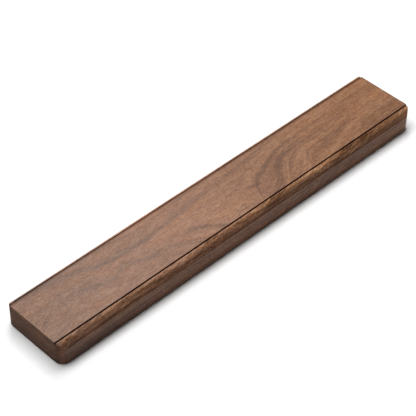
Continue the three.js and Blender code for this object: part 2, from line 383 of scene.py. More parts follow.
def bar_shell():
    """The bar before anything is routed into its back."""
    half = half_section()
    section = [(-y, z) for y, z in reversed(half[1:])] + half
    bm = bmesh.new()
    grid = []
    for y, z in section:
        reach = half_length_at(y, EDGE_ROUND)
        row = []
        for i in range(LENGTH_STEPS + 1):
            x = reach * (2 * i / LENGTH_STEPS - 1)
            row.append(bm.verts.new((x, y, z)))
        grid.append(row)
    for low, high in zip(grid, grid[1:]):
        for i in range(LENGTH_STEPS):
            bm.faces.new((low[i], low[i + 1], high[i + 1], high[i]))

    right = [row[-1] for row in grid]
    left = [row[0] for row in grid]
    rim = grid[0] + right[1:] + grid[-1][-2::-1] + left[-2:0:-1]
    loops = [rim] + rim_rounding(bm, rim) + wall_loops(bm, rim)
    for upper, lower in zip(loops, loops[1:]):
        bridge(bm, lower, upper)
    bm.faces.new(list(reversed(loops[-1])))
    bmesh.ops.recalc_face_normals(bm, faces=bm.faces)
    return bm


def outline_normal(point):
    """Outward direction of the bar's outline at a point near it."""
    dx = math.copysign(max(abs(point.x) - STRAIGHT_X, 0), point.x)
    dy = math.copysign(max(abs(point.y) - STRAIGHT_Y, 0), point.y)
    return Vector((dx, dy, 0)).normalized()


def on_outline(point, inset):
    """The point moved squarely onto the outline that lies inset inside the bar's."""
    normal = outline_normal(point)
    reach = CORNER_RADIUS - inset
    x = max(-STRAIGHT_X, min(STRAIGHT_X, point.x)) + normal.x * reach
    y = max(-STRAIGHT_Y, min(STRAIGHT_Y, point.y)) + normal.y * reach
    return x, y


def rim_rounding(bm, rim, steps=4):
    """Loops that turn the top surface down into the wall, fading out along the long sides."""
    loops = []
    for k in range(1, steps + 1):
        angle = k / steps * math.pi / 2
        loop = []
        for vert in rim:
            local = EDGE_ROUND * outline_normal(vert.co).x ** 2
            x, y = on_outline(vert.co, local * (1 - math.sin(angle)))
            z = vert.co.z - local * (1 - math.cos(angle))
            loop.append(bm.verts.new((x, y, z)))
        loops.append(loop)
    return loops


def wall_loops(bm, rim):
    """Loops down the wall to the back, whose edge is broken."""
    return [
        [bm.verts.new((*on_outline(vert.co, inset), z)) for vert in rim]
        for inset, z in ((0, BACK_Z + BACK_ARRIS), (BACK_ARRIS, BACK_Z))
    ]


# ------------------------------------------------------------------ shader helpers


class Nodes:
    """Builds a node tree. A value is a socket or a plain number or tuple."""

    def __init__(self, owner):
        owner.use_nodes = True
        self.tree = owner.node_tree
        self.tree.nodes.clear()

    def node(self, kind, inputs=None, **settings):
        made = self.tree.nodes.new(kind)
        for key, value in settings.items():
            setattr(made, key, value)
        for key, value in (inputs or {}).items():
            self.feed(made.inputs[key], value)
        return made

    def feed(self, socket, value):
        if isinstance(value, bpy.types.NodeSocket):
            self.tree.links.new(value, socket)
        else:
            socket.default_value = value

    def math(self, operation, a, b=0.0, clamp=False):
        made = self.node("ShaderNodeMath", {0: a, 1: b}, operation=operation, use_clamp=clamp)
        return made.outputs[0]

    def add(self, a, b):
        return self.math("ADD", a, b)

    def sub(self, a, b):
        return self.math("SUBTRACT", a, b)

    def mul(self, a, b):
        return self.math("MULTIPLY", a, b)

    def place(self, scale=(1, 1, 1), offset=(0, 0, 0)):
        """Object coordinates in millimetres, then offset and scaled."""
        coordinates = self.node("ShaderNodeTexCoord").outputs["Object"]
        made = self.node(
            "ShaderNodeVectorMath",
            {0: coordinates, 1: (1 / MM,) * 3, 2: offset},
            operation="MULTIPLY_ADD",
        )
        scaled = self.node(
            "ShaderNodeVectorMath", {0: made.outputs[0], 1: scale}, operation="MULTIPLY"
        )
        return scaled.outputs[0]

    def split(self, vector):
        return self.node("ShaderNodeSeparateXYZ", {0: vector}).outputs

    def join(self, x, y, z):
        return self.node("ShaderNodeCombineXYZ", {0: x, 1: y, 2: z}).outputs[0]

    def noise(self, vector, detail=2.0, roughness=0.5, distortion=0.0):
        made = self.node("ShaderNodeTexNoise", {
            "Vector": vector, "Scale": 1.0, "Detail": detail, "Roughness": roughness,
            "Distortion": distortion,
        })
        return made.outputs["Fac"]

    def between(self, value, low, high, out_low=0.0, out_high=1.0, smooth=True):
        made = self.node("ShaderNodeMapRange", {
            "Value": value, "From Min": low, "From Max": high, "To Min": out_low,
            "To Max": out_high,
        }, interpolation_type="SMOOTHSTEP" if smooth else "LINEAR")
        return made.outputs["Result"]

    def curve(self, value, points, x_range, y_range):
        """A smooth curve through (x, y) points, read at value."""
        low_x, high_x = x_range
        low_y, high_y = y_range
        unit = self.between(value, low_x, high_x, smooth=False)
        made = self.node("ShaderNodeFloatCurve", {"Value": unit})
        line = made.mapping.curves[0]
        while len(line.points) < len(points):
            line.points.new(0.5, 0.5)
        for point, (x, y) in zip(line.points, points):
            point.location = ((x - low_x) / (high_x - low_x), (y - low_y) / (high_y - low_y))
            point.handle_type = "AUTO_CLAMPED"
        made.mapping.update()
        return self.between(made.outputs[0], 0.0, 1.0, low_y, high_y, smooth=False)

    def mix(self, factor, a, b, mode="MIX"):
        made = self.node(
            "ShaderNodeMix", {0: factor, 6: a, 7: b},
            data_type="RGBA", blend_type=mode, clamp_factor=True,
        )
        return made.outputs[2]

    def ramp(self, factor, stops):
        made = self.node("ShaderNodeValToRGB", {0: factor})
        line = made.color_ramp
        while len(line.elements) < len(stops):
            line.elements.new(0.5)
        for element, (position, colour) in zip(line.elements, stops):
            element.position = position
            element.color = (*colour, 1)
        return made.outputs[0]


class Shader(Nodes):
    """Builds one material, with a principled surface."""

    def __init__(self, name):
        self.material = bpy.data.materials.new(name)
        super().__init__(self.material)
        self.surface = self.node("ShaderNodeBsdfPrincipled")
        self.output = self.node(
            "ShaderNodeOutputMaterial", {"Surface": self.surface.outputs[0]}
        )

    def bump(self, height, distance, strength=1.0):
        made = self.node(
            "ShaderNodeBump", {"Height": height, "Distance": distance, "Strength": strength}
        )
        self.feed(self.surface.inputs["Normal"], made.outputs[0])

    def set(self, **values):
        for key, value in values.items():
            self.feed(self.surface.inputs[key.replace("_", " ")], value)


# ------------------------------------------------------------------ walnut

# The course of eight growth lines over the front face, lowest first, as (x, y) in millimetres.
# In the middle of the bar the lower ones dip below its edge, and on the right they come back as
# nested arches.
GROWTH_LINES = (
    ((-200, -56), (-150, -38), (-87, -42), (-20, -66), (60, -62), (100, -46), (125, -34),
     (140, -24), (156, -17), (175, -15), (200, -15)),
    ((-200, -44), (-150, -29), (-125, -30), (-87, -32), (-62, -38), (-20, -55), (20, -54),
     (60, -40), (78, -30), (83, -24), (86, -16), (92, -9.5), (100, -7.4), (112, -7.6),
     (125, -6.2), (162, -2.4), (200, 0.5)),
    ((-200, -28), (-150, -14), (-125, -18), (-107, -13), (-87, -20), (-75, -19), (-62, -27),
     (-50, -34), (-20, -45), (20, -42), (40, -36), (58, -24), (65, -15.5), (71, -9),
     (80, -3.5), (92, -1), (112, -1), (150, 2), (200, 5)),
    ((-200, -6), (-175, 3), (-166, 3), (-152, 0.7), (-137, -4.3), (-125, -8.3), (-117, -4.3),
     (-107, -1.8), (-97, -5.5), (-87, -10.3), (-75, -9.5), (-62, -16), (-48, -25), (-20, -38),
     (20, -36), (42, -29), (51, -22), (56, -11), (62, -4.5), (70, 0.5), (80, 3.5), (100, 3.2),
     (131, 4), (160, 7), (200, 9)),
    ((-200, 8), (-175, 10), (-160, 8), (-152, 6), (-137, 3), (-125, -1.5), (-117, 0),
     (-107, 2), (-97, -0.5), (-87, -3), (-75, -4), (-60, -6), (-43, -9.5), (-32, -14),
     (-22, -23), (-10, -30), (10, -32), (22, -26), (27, -16), (33, -6), (40, 0), (50, 3.5),
     (62, 7.5), (71, 10.7), (85, 12.3), (125, 12.2), (150, 14.5), (200, 16)),
    ((-200, 22), (-165, 17), (-137, 10), (-125, 5.5), (-94, 3.5), (-75, 2.5), (-44, 3.5),
     (0, 5), (20, 6), (38, 8), (50, 10), (62, 13), (75, 16), (100, 18.5), (150, 21),
     (200, 22.5)),
    ((-200, 36), (-180, 31), (-165, 24.5), (-137, 18.2), (-130, 13.5), (-122, 11), (-94, 7.8),
     (-75, 7.2), (-50, 9.5), (-25, 12.6), (0, 14.5), (31, 17.6), (50, 19.5), (72, 22),
     (120, 26.5), (200, 29)),
    ((-200, 58), (-140, 33), (-120, 26), (-97, 22.6), (-87, 20.9), (-75, 20.1), (-50, 21),
     (-20, 22.8), (40, 27), (100, 31), (200, 36)),
)
LINE_X = (-200, 200)
LINE_Y = (-70, 60)
OUTER_SPACING = 8  # millimetres from line to line outside the outermost ones

# Dark streaks: the growth line, how far each reaches below and above it in line spacings, and
# its strength along the bar.
STREAKS = (
    (0, 0.30, 0.15, ((-200, 0.2), (-60, 0.2), (120, 0.4), (150, 0.7), (200, 0.9))),
    (1, 0.45, 0.12, ((-200, 0.2), (40, 0.3), (82, 0.5), (90, 0.8), (125, 0.8), (160, 0.6),
                     (200, 0.4))),
    (2, 0.24, 0.16, ((-200, 0.1), (-60, 0.2), (55, 0.5), (72, 0.8), (100, 0.35), (200, 0.5))),
    (3, 0.50, 0.45, ((-200, 0.0), (-170, 0.1), (-150, 0.5), (-125, 0.7), (-87, 0.7), (-70, 0.45),
                     (-40, 0.2), (45, 0.4), (62, 0.7), (131, 0.8), (170, 0.3), (200, 0.3))),
    (4, 0.32, 0.20, ((-200, 0.0), (-160, 0.0), (-110, 0.15), (-52, 0.1), (-40, 0.7), (-22, 0.7),
                     (15, 0.2), (27, 0.35), (50, 0.7), (90, 0.9), (125, 0.9), (160, 0.5),
                     (200, 0.4))),
    (5, 0.26, 0.20, ((-200, 0.0), (-100, 0.1), (20, 0.2), (60, 0.3), (140, 0.4), (200, 0.4))),
    (6, 0.70, 0.40, ((-200, 0.2), (-165, 0.4), (-135, 0.8), (-80, 0.8), (-55, 0.5), (-20, 0.6),
                     (20, 0.7), (50, 1.0), (75, 0.7), (100, 0.3), (200, 0.3))),
    (7, 0.16, 0.20, ((-200, 0.0), (-140, 0.2), (-112, 0.5), (-85, 0.8), (-20, 0.7), (20, 0.4),
                     (200, 0.3))),
)

# Lighter and darker zones: the levels and the stretch of the bar that each covers, with soft
# borders, and its strength.
ZONES = (
    ((3.9, 4.4, 5.3, 6.2), (-110, -60, -15, 25), 0.34),
    ((1.1, 1.3, 1.75, 1.95), (68, 78, 100, 135), 0.42),
    ((2.1, 3.0, 3.8, 4.2), (14, 30, 70, 110), -0.42),
    ((-0.5, 0.2, 0.7, 1.0), (80, 95, 120, 150), -0.15),
    ((-2.0, -1.2, -0.3, 0.0), (120, 160, 190, 230), -0.45),
    ((7.1, 7.3, 8.5, 9.5), (-110, -80, -20, 30), 0.30),
    ((5.0, 5.6, 9.0, 10.0), (-230, -200, -170, -140), -0.25),
    ((4.2, 4.5, 6.0, 6.5), (90, 130, 200, 230), 0.25),
    ((0.4, 0.6, 2.0, 2.3), (140, 170, 195, 215), 0.25),
)

# An old knot's vein near the left end, as (y, x), and how it fades out to either side.
VEIN = ((-40, -205), (-22, -190), (-17, -178), (-9, -170), (3, -168.5), (8, -166), (12, -168),
        (16, -176), (23, -189), (40, -205))
VEIN_FADE = (-1.6, -0.3, 0.3, 2.6)

# A short dark dash near the middle: its stretch of the bar, its slope and height, and its fade.
DASH_STRETCH = (20, 27, 31, 38)
DASH_SLOPE = -0.19
DASH_HEIGHT = -2.6
DASH_FADE = (-1.9, -0.3, 0.3, 1.9)


def growth_level(shader, x, y):
    """0 at the lowest growth line, 1 at the next, and so on, continued beyond both ends."""
    heights = [shader.curve(x, line, LINE_X, LINE_Y) for line in GROWTH_LINES]
    below = shader.math("MINIMUM", shader.mul(shader.sub(y, heights[0]), 1 / OUTER_SPACING), 0.0)
    above = shader.math("MAXIMUM", shader.mul(shader.sub(y, heights[-1]), 1 / OUTER_SPACING), 0.0)
    level = shader.add(below, above)
    for lower, upper in zip(heights, heights[1:]):
        share = shader.math("DIVIDE", shader.sub(y, lower), shader.sub(upper, lower), clamp=True)
        level = shader.add(level, share)
    return level


def window(shader, value, stops):
    """Rises from 0 to 1 over the first two stops and falls back over the last two."""
    rise = shader.between(value, stops[0], stops[1])
    fall = shader.between(value, stops[2], stops[3], 1.0, 0.0)
    return shader.mul(rise, fall)


def figure(shader, x, y, level):
    """Tone of the guided figure: below zero dark, above zero light."""
    tone = 0.0
    for line, below, above, strengths in STREAKS:
        shape = window(shader, level, (line - below, line - 0.02, line + 0.02, line + above))
        strength = shader.curve(x, strengths, LINE_X, (0, 2))
        tone = shader.sub(tone, shader.mul(shape, shader.mul(strength, 0.55)))
    for levels, stretch, strength in ZONES:
        zone = shader.mul(window(shader, level, levels), window(shader, x, stretch))
        tone = shader.add(tone, shader.mul(zone, strength))
    vein_x = shader.curve(y, VEIN, (-40, 40), (-210, -160))
    off = shader.sub(x, vein_x)
    tone = shader.sub(tone, shader.mul(window(shader, off, VEIN_FADE), 0.30))
    dash = shader.mul(window(shader, x, DASH_STRETCH), 0.8)
    off = shader.sub(y, shader.add(shader.mul(x, DASH_SLOPE), DASH_HEIGHT))
    return shader.sub(tone, shader.mul(dash, window(shader, off, DASH_FADE)))


class Plank:
    """Where each point of a walnut piece lies in its plank, in millimetres, and the noise there.

    offset picks where in the plank the piece was cut. A guided piece follows the growth lines.
    """

    def __init__(self, shader, offset, guided):
        self.shader = shader
        self.offset = offset
        self.guided = guided
        self.x, self.y, self.z = shader.split(shader.place(offset=offset))
        # The layers slope through the thickness, more steeply towards the +Y side.
        depth = shader.sub(self.z, FRONT_Z / MM)
        lean = shader.add(shader.mul(self.y, 0.012), 1.15)
        across = shader.add(self.y, shader.mul(depth, lean))
        ripple = shader.sub(self.spots(0.045, 0.13, detail=3.0), 0.5)
        across = shader.add(across, shader.mul(ripple, 3.2))
        if guided:
            self.level = growth_level(shader, self.x, across)
            self.figure = figure(shader, self.x, across, self.level)
        else:
            sway = shader.sub(self.spots(0.012, 0.035, detail=1.0), 0.5)
            self.level = shader.mul(shader.add(across, shader.mul(sway, 26.0)), 0.11)
            self.figure = 0.0

    def spots(self, along, across, **settings):
        """Noise in spots that are longer along the grain than across it."""
        place = self.shader.place((along, across, across), self.offset)
        return self.shader.noise(place, **settings)

    def layers(self, along, across, detail=3.0):
        """Noise about zero, in thin layers that follow the growth lines."""
        shader = self.shader
        place = shader.join(
            shader.mul(self.x, along), shader.mul(self.level, across), shader.mul(self.z, 0.01)
        )
        return shader.sub(shader.noise(place, detail=detail, roughness=0.6), 0.5)


def grain_tone(plank, lines):
    """Tone of the wood: below zero dark, above zero light."""
    shader = plank.shader
    x, y, z = plank.x, plank.y, plank.z
    cloud = shader.sub(plank.spots(0.045, 0.075, detail=3.0, roughness=0.6), 0.5)
    curl_place = shader.join(
        shader.add(shader.mul(x, 0.10), shader.mul(y, 0.16)),
        shader.mul(shader.sub(y, x), 0.03),
        shader.mul(z, 0.1),
    )
    curl = shader.sub(shader.noise(curl_place, detail=2.0), 0.5)
    speckle = shader.sub(plank.spots(0.30, 0.95, detail=3.0, roughness=0.75), 0.5)
    arches = window(shader, x, (15, 50, 100, 150))
    tone = plank.figure
    for noise, strength in (
        (plank.layers(0.006, 1.4), 0.9 if plank.guided else 2.2),
        (plank.layers(0.012, 6.0), shader.add(arches, 0.9)),
        (lines, 1.2),
        (cloud, 0.5),
        (curl, 0.45),
        (speckle, SPECKLE),
    ):
        tone = shader.add(tone, shader.mul(noise, strength))
    ridge = shader.math("ABSOLUTE", plank.layers(0.010, 5.0, detail=2.0))
    ridge = shader.between(ridge, 0.0, 0.025, 1.0, 0.0)
    return shader.sub(tone, shader.mul(ridge, shader.between(cloud, -0.08, 0.10, 0.0, 0.7)))


def wood_colour(plank, tone, pore):
    """Colour of the wood before its ends and edges are tinted."""
    shader = plank.shader
    x, z = plank.x, plank.z
    place = shader.between(tone, -1.0, 1.0, smooth=False)
    shift = shader.mix(
        shader.between(x, -90, 20), shader.ramp(place, GREY_TONES), shader.ramp(place, BROWN_TONES)
    )
    patches = shader.sub(plank.spots(0.03, 0.09, detail=2.0), 0.5)
    warmth = shader.add(shader.mul(plank.layers(0.014, 4.0), 0.7), shader.mul(patches, 0.5))
    # Fleck strength: grain flecks plus painted glints, stronger off the face.
    fleck_and_glint_gain = shader.between(z, FRONT_Z / MM - 0.5, FRONT_Z / MM - 0.1, FLECK_AND_GLINT_GAIN_EDGES, FLECK_AND_GLINT_GAIN)
    fleck = shader.sub(plank.spots(0.45, 1.1, detail=2.0, roughness=0.8), 0.5)
    mottle = plank.spots(0.13, 0.45, detail=2.0)
    colour = shader.ramp(shader.between(x, -200, 200, smooth=False), WALNUT)
    colour = shader.mix(1.0, colour, shift, "MULTIPLY")
    for factor, low, high in (
        (shader.between(warmth, -0.22, 0.22, smooth=False), COOL_TINT, WARM_TINT),
        (shader.add(shader.mul(fleck, fleck_and_glint_gain), 0.5), DARK_FLECK, LIGHT_FLECK),
        (shader.between(mottle, 0.3, 0.7), DARK_MOTTLE, LIGHT_MOTTLE),
    ):
        colour = shader.mix(1.0, colour, shader.mix(factor, low, high), "MULTIPLY")
    return shader.mix(shader.mul(pore, 0.30), colour, PORE_COLOUR)


def end_tint(plank):
    """Tint of the end grain, which soaks up oil unevenly and grows darker towards the back, where
    it lies on the floor.
    """
    shader = plank.shader
    place = shader.place((0.02, 0.035, 0.6), plank.offset)
    layers = shader.noise(place, detail=3.0, roughness=0.6)
    patchy_darker_low = shader.mul(
        shader.between(layers, 0.36, 0.64, 0.62, 1.20), shader.between(plank.z, 0, 17, 0.70, 1.0)
    )
    return shader.join(*(shader.mul(patchy_darker_low, part) for part in END_GRAIN))


def fibre_tint(plank, height):
    """Tint of the slanting fibres that the cutter laid open on the moulding."""
    shader = plank.shader
    slant = shader.mul(shader.sub(plank.x, shader.mul(height, 4.5)), 0.20)
    fibres = shader.noise(
        shader.join(slant, shader.mul(height, 0.40), shader.mul(plank.x, 0.02)),
        detail=3.0,
        roughness=0.75,
    )
    stripes = shader.noise(
        shader.join(shader.mul(plank.x, 0.018), shader.mul(height, 0.5), 0.0), detail=2.0
    )
    streaky = shader.between(shader.add(fibres, stripes), 0.76, 1.24, smooth=False)
    return shader.mix(streaky, DARK_FIBRE, LIGHT_FIBRE)


def band_tint(plank, height):
    """Tint of the level bands along the sides."""
    shader = plank.shader
    place = shader.join(shader.mul(plank.x, 0.012), shader.mul(height, 0.45), 3.7)
    bands = shader.noise(place, detail=3.0)
    return shader.mix(shader.between(bands, 0.3, 0.7), DARK_BAND, LIGHT_BAND)


def bar_places(plank, turned_in, end):
    """The bar's tints, some of them painted highlight and painted shade, then its changes of
    roughness, by place: each a pair with its mask.

    turned_in is how squarely the surface faces along the bar, and end is 1 on the ends.
    """
    shader = plank.shader
    x, y = plank.x, plank.y
    foot, bead, edge = FOOT_Y / MM, BEAD_Y / MM, HALF_WIDTH / MM
    height = shader.sub(plank.z, CREASE_Z / MM)
    out = shader.math("ABSOLUTE", y)
    over_crease = shader.between(height, -0.3, 0.1)
    mould = shader.mul(over_crease, shader.between(out, bead - 0.3, bead))
    # Painted shade in the crease, fading out three millimetres up the moulding.
    crease = shader.mul(mould, shader.between(height, 0.0, 3.0, 1.0, 0.0))
    # Painted highlight on the upper part of the near moulding, fading out towards the right end.
    near_top_highlight = shader.mul(
        shader.mul(shader.between(height, 4.0, 6.4), shader.between(y, 0, -1)),
        shader.between(x, 20, 150, 1.0, 0.25),
    )
    # The near groove: painted shade in its colour, and a rougher finish.
    groove = shader.mul(
        window(shader, y, (-bead - 0.6, -bead - 0.1, -foot, -foot + 0.1)),
        window(shader, height, (5.5, 5.6, 7.12, 7.2)),
    )
    # Painted shade along the face's edge beside the far groove.
    far_edge_shade = shader.mul(
        window(shader, y, (foot - 2.4, foot - 0.8, foot - 0.1, foot)), over_crease
    )
    # Painted light on the far groove and the top of the far moulding.
    far_top_light = shader.mul(shader.between(y, foot - 0.1, foot), shader.between(height, 4.5, 6.0))
    side = shader.mul(
        shader.between(height, 0.0, -0.3), shader.between(out, edge - 1.5, edge - 0.5)
    )
    # Painted shade on the upright corners below the crease.
    corner_shade = shader.mul(
        window(shader, turned_in, (0.1, 0.35, 0.75, 0.95)), shader.between(height, 0.2, -0.4)
    )
    # Painted shade low on the near side towards the left end, darkest next to the floor, leaving
    # the end face out.
    low_left_shade = shader.mul(
        shader.between(height, -11, -3, 1.0, 0.0), shader.between(x, -175, -95, 1.0, 0.0)
    )
    low_left_shade = shader.mul(low_left_shade, shader.between(y, -31, -32))
    tints = [
        (shader.mul(mould, shader.between(y, -1, 1, 1.0, 0.4)), fibre_tint(plank, height)),
        (side, SIDE_TINT),
        (side, band_tint(plank, height)),
        # Painted shade and painted light follow: the crease, the far groove, the near moulding's
        # top, the near groove, the upright corners and low on the near side.
        (crease, CREASE_SHADE_TINT),
        (far_edge_shade, FAR_EDGE_SHADE_TINT),
        (far_top_light, FAR_BAND_LIGHT_TINT),
        (shader.mul(mould, near_top_highlight), NEAR_TOP_HIGHLIGHT_TINT),
        (groove, GROOVE_SHADE_TINT),
        (corner_shade, CORNER_SHADE_TINT),
        (shader.mul(low_left_shade, shader.sub(1.0, end)), LOW_LEFT_SHADE_TINT),
    ]
    rougher = [
        (mould, shader.between(height, 3.0, 5.5, 0.42, -0.16)),
        (groove, 0.6),
        (side, shader.between(y, -1, 1, 0.06, 0.40)),
    ]
    return tints, rougher


def walnut(name, offset, guided):
    """Solid oiled walnut, cut from the plank at offset."""
    shader = Shader(name)
    plank = Plank(shader, offset, guided)
    lines = plank.layers(0.025, 13.0)
    pore = shader.between(plank.spots(0.06, 1.5, detail=3.0, roughness=0.65), 0.60, 0.72)
    normal = shader.split(shader.node("ShaderNodeTexCoord").outputs["Normal"])
    turned_in = shader.math("ABSOLUTE", normal[0])
    end = shader.between(turned_in, 0.55, 0.95)
    tints = [(end, end_tint(plank))]
    rougher = [(pore, 0.10), (end, 0.42)]
    if guided:
        bar_tints, bar_rougher = bar_places(plank, turned_in, end)
        tints += bar_tints
        rougher += bar_rougher
    colour = wood_colour(plank, grain_tone(plank, lines), pore)
    for mask, tint in tints:
        colour = shader.mix(mask, colour, tint, "MULTIPLY")
    roughness = shader.between(plank.spots(0.09, 0.2, detail=4.0), 0.3, 0.7, 0.35, 0.42)
    for mask, change in rougher:
        roughness = shader.add(roughness, shader.mul(mask, change))
    shader.set(Base_Color=colour, Roughness=roughness, Specular_IOR_Level=0.25)
    shader.bump(shader.sub(shader.mul(lines, 0.35), pore), 0.05 * MM, 0.55)
    return shader.material


def mill_steel(name, colour, roughness):
    """Cold-rolled or zinc-plated steel with fine rolling lines along X."""
    shader = Shader(name)
    lines = shader.noise(shader.place((0.15, 9.0, 3.0)), detail=3.0, roughness=0.65)
    cloud = shader.noise(shader.place((0.12, 0.12, 0.12)), detail=4.0)
    tone = shader.add(shader.mul(lines, 0.5), shader.mul(cloud, 0.5))
    dark = tuple(0.72 * value for value in colour)
    light = tuple(min(1.0, 1.12 * value) for value in colour)
    shader.set(
        Base_Color=shader.ramp(tone, ((0.3, dark), (0.7, light))),
        Metallic=1.0,
        Roughness=shader.between(tone, 0.3, 0.7, roughness + 0.12, roughness - 0.05),
    )
    shader.bump(shader.add(lines, shader.mul(cloud, 2.0)), 0.02 * MM, 0.5)
    return shader.material


def zinc_plate(name, colour, roughness):
    """Bright zinc with a faint yellow passivation that varies from place to place."""
    shader = Shader(name)
    cloud = shader.noise(shader.place((0.7, 0.7, 0.7)), detail=5.0, roughness=0.6)
    speck = shader.noise(shader.place((6.0, 6.0, 6.0)), detail=2.0)
    tarnish = tuple(value * factor for value, factor in zip(colour, (0.78, 0.66, 0.5)))
    shader.set(
        Base_Color=shader.ramp(cloud, ((0.35, tarnish), (0.6, colour))),
        Metallic=1.0,
        Roughness=shader.between(speck, 0.3, 0.7, roughness - 0.06, roughness + 0.14),
    )
    shader.bump(speck, 0.015 * MM, 0.4)
    return shader.material


def nickel_plate():
    """Bright nickel plating over sintered magnet, with a slight orange peel."""
    shader = Shader("nickel")
    cloud = shader.noise(shader.place((0.25, 0.25, 0.25)), detail=4.0)
    peel = shader.noise(shader.place((2.2, 2.2, 2.2)), detail=2.0)
    shader.set(
        Base_Color=shader.ramp(cloud, ((0.3, (0.60, 0.57, 0.52)), (0.7, (0.78, 0.76, 0.72)))),
        Metallic=1.0,
        Roughness=shader.between(peel, 0.3, 0.7, 0.12, 0.24),
    )
    shader.bump(peel, 0.02 * MM, 0.35)
    return shader.material


def pale_wood():
    """Unfinished basswood of the fillers, grain along X."""
    shader = Shader("basswood")
    grain = shader.noise(shader.place((0.02, 0.9, 0.9)), detail=4.0, distortion=0.4)
    pores = shader.noise(shader.place((0.25, 5.0, 5.0)), detail=2.0)
    tone = shader.add(shader.mul(grain, 0.7), shader.mul(pores, 0.3))
    shader.set(
        Base_Color=shader.ramp(tone, (
            (0.30, (0.36, 0.23, 0.12)),
            (0.55, (0.52, 0.37, 0.21)),
            (0.75, (0.60, 0.45, 0.28)),
        )),
        Roughness=shader.between(tone, 0.3, 0.7, 0.75, 0.62),
    )
    shader.bump(shader.add(pores, grain), 0.08 * MM, 0.5)
    return shader.material


def silicone():
    """Clear-white silicone, slightly dusty."""
    shader = Shader("silicone_rubber")
    dust = shader.noise(shader.place((0.8, 0.8, 0.8)), detail=5.0, roughness=0.65)
    fine = shader.noise(shader.place((4.0, 4.0, 4.0)), detail=2.0)
    shader.set(
        Base_Color=shader.ramp(dust, ((0.35, (0.50, 0.50, 0.48)), (0.65, (0.68, 0.68, 0.66)))),
        Roughness=shader.between(dust, 0.3, 0.7, 0.42, 0.62),
        Subsurface_Weight=0.3,
        Subsurface_Scale=0.5 * MM,
    )
    shader.bump(fine, 0.02 * MM, 0.4)
    return shader.material


# ------------------------------------------------------------------ pieces


def nodes_named(start):
    return sorted(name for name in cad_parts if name.startswith(start))


def on_crease(edge):
    """Whether an edge of the bar lies on the crease between the moulded band and the side."""
    return all(
        abs(vert.co.z - CREASE_Z) < 0.02 * MM and abs(vert.co.y) > HALF_WIDTH - 0.05 * MM
        for vert in edge.verts
    )


def screw_sizes(node):
    """Radii of head and shank, and heights of head and whole screw."""
    low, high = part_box(node)
    shank, sink = HANGER_SCREW if node.startswith("hanger") else COVER_SCREW
    return (high.x - low.x) / 2, shank, sink, high.z - low.z


def screw_hole(bm, node):
    head, shank, sink, length = screw_sizes(node)
    profile = (
        (head + SCREW_GAP, BACK_Z - 2 * MM),
        (head + SCREW_GAP, BACK_Z),
        (shank + SCREW_GAP, BACK_Z + sink + SCREW_GAP),
        (shank + SCREW_GAP, BACK_Z + length - SCREW_POINT + SCREW_GAP),
        (0.05 * MM, BACK_Z + length + SCREW_GAP),
    )
    turned(bm, profile, middle(node))


def seat(bm, node, radius, top, flare=None):
    """Adds a cutter for the pocket that a node sits in, a little wider all round."""
    half = half_of(node)
    pocket(bm, half.x + FIT_GAP, half.y + FIT_GAP, radius + FIT_GAP, top, middle(node), flare)


def make_bar():
    wide = bmesh.new()
    seat(wide, "back_cover", COVER_RADIUS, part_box("back_cover")[1].z + GLUE_GAP)
    for node in nodes_named("hanger_plate"):
        seat(wide, node, HANGER_RADIUS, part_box(node)[1].z + GLUE_GAP)
    for node in nodes_named("pad"):
        low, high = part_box(node)
        reach = (high.x - low.x) / 2 + FIT_GAP
        pocket(wide, reach, reach, reach, high.z + GLUE_GAP, middle(node))

    deep = bmesh.new()
    for node in nodes_named("steel_strip"):
        seat(deep, node, half_of(node).y, FRONT_Z - FRONT_SKIN, flare=0)
    for node in nodes_named("hanger_plate"):
        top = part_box(node)[1].z + GLUE_GAP + HEAD_POCKET_DEPTH
        pocket(
            deep, HEAD_POCKET_HALF, HEAD_POCKET_HALF + KEYHOLE_TRAVEL / 2, HEAD_POCKET_HALF,
            top, middle(node), flare=0,
        )
    for node in nodes_named("hanger_screw") + nodes_named("cover_screw"):
        screw_hole(deep, node)

    piece = as_object(bar_shell(), "bar")
    cut(piece, wide, deep)
    shade(piece, also_sharp=on_crease)
    adopt(piece, walnut("walnut_face", (0, 0, 0), guided=True), "walnut_bar")


def make_cover():
    piece = as_object(box_slab("back_cover", COVER_RADIUS, 0.3 * MM), "cover")
    holes = bmesh.new()
    for node in nodes_named("cover_screw"):
        screw_hole(holes, node)
    cut(piece, holes)
    shade(piece)
    adopt(piece, walnut("walnut_cover", (37, 90, 45), guided=False), "back_cover")


def make_hangers(material):
    for node in nodes_named("hanger_plate"):
        centre = middle(node)
        piece = as_object(box_slab(node, HANGER_RADIUS, 0.25 * MM), node + "_pressed")
        past_plate = BACK_Z + 4 * MM
        travel = Vector((0, KEYHOLE_TRAVEL / 2, 0))
        entry = bmesh.new()
        pocket(
            entry, ENTRY_RADIUS, ENTRY_RADIUS, ENTRY_RADIUS, past_plate, centre - travel,
            KEYHOLE_FLARE,
        )
        slot = bmesh.new()
        pocket(
            slot, SLOT_HALF, SLOT_HALF + KEYHOLE_TRAVEL / 2, SLOT_HALF, past_plate, centre,
            KEYHOLE_FLARE,
        )
        holes = bmesh.new()
        side = node.rsplit("_", 1)[1]
        for screw in nodes_named("hanger_screw_" + side):
            screw_hole(holes, screw)
        cut(piece, entry, slot, holes)
        shade(piece)
        adopt(piece, material, node)


def threaded_shank(bm, centre, radius, low, high):
    """Adds a shank with a wood-screw thread that never stands out beyond radius."""
    pitch = radius * 0.75
    depth = radius * 0.26
    around = 20
    levels = int((high - low) / pitch * 8)
    rings = []
    for k in range(levels + 1):
        z = low + (high - low) * k / levels
        taper = min(1.0, (high - z) / SCREW_POINT + 0.12)
        ring = []
        for i in range(around):
            turn = i / around
            phase = (z / pitch - turn) % 1.0
            crest = max(0.0, 1.0 - abs(phase - 0.5) * 4)
            reach = (radius - depth + depth * crest) * taper
            angle = 2 * math.pi * turn
            ring.append((
                centre.x + reach * math.cos(angle),
                centre.y + reach * math.sin(angle),
                z,
            ))
        rings.append(ring)
    loft(rings, bm)


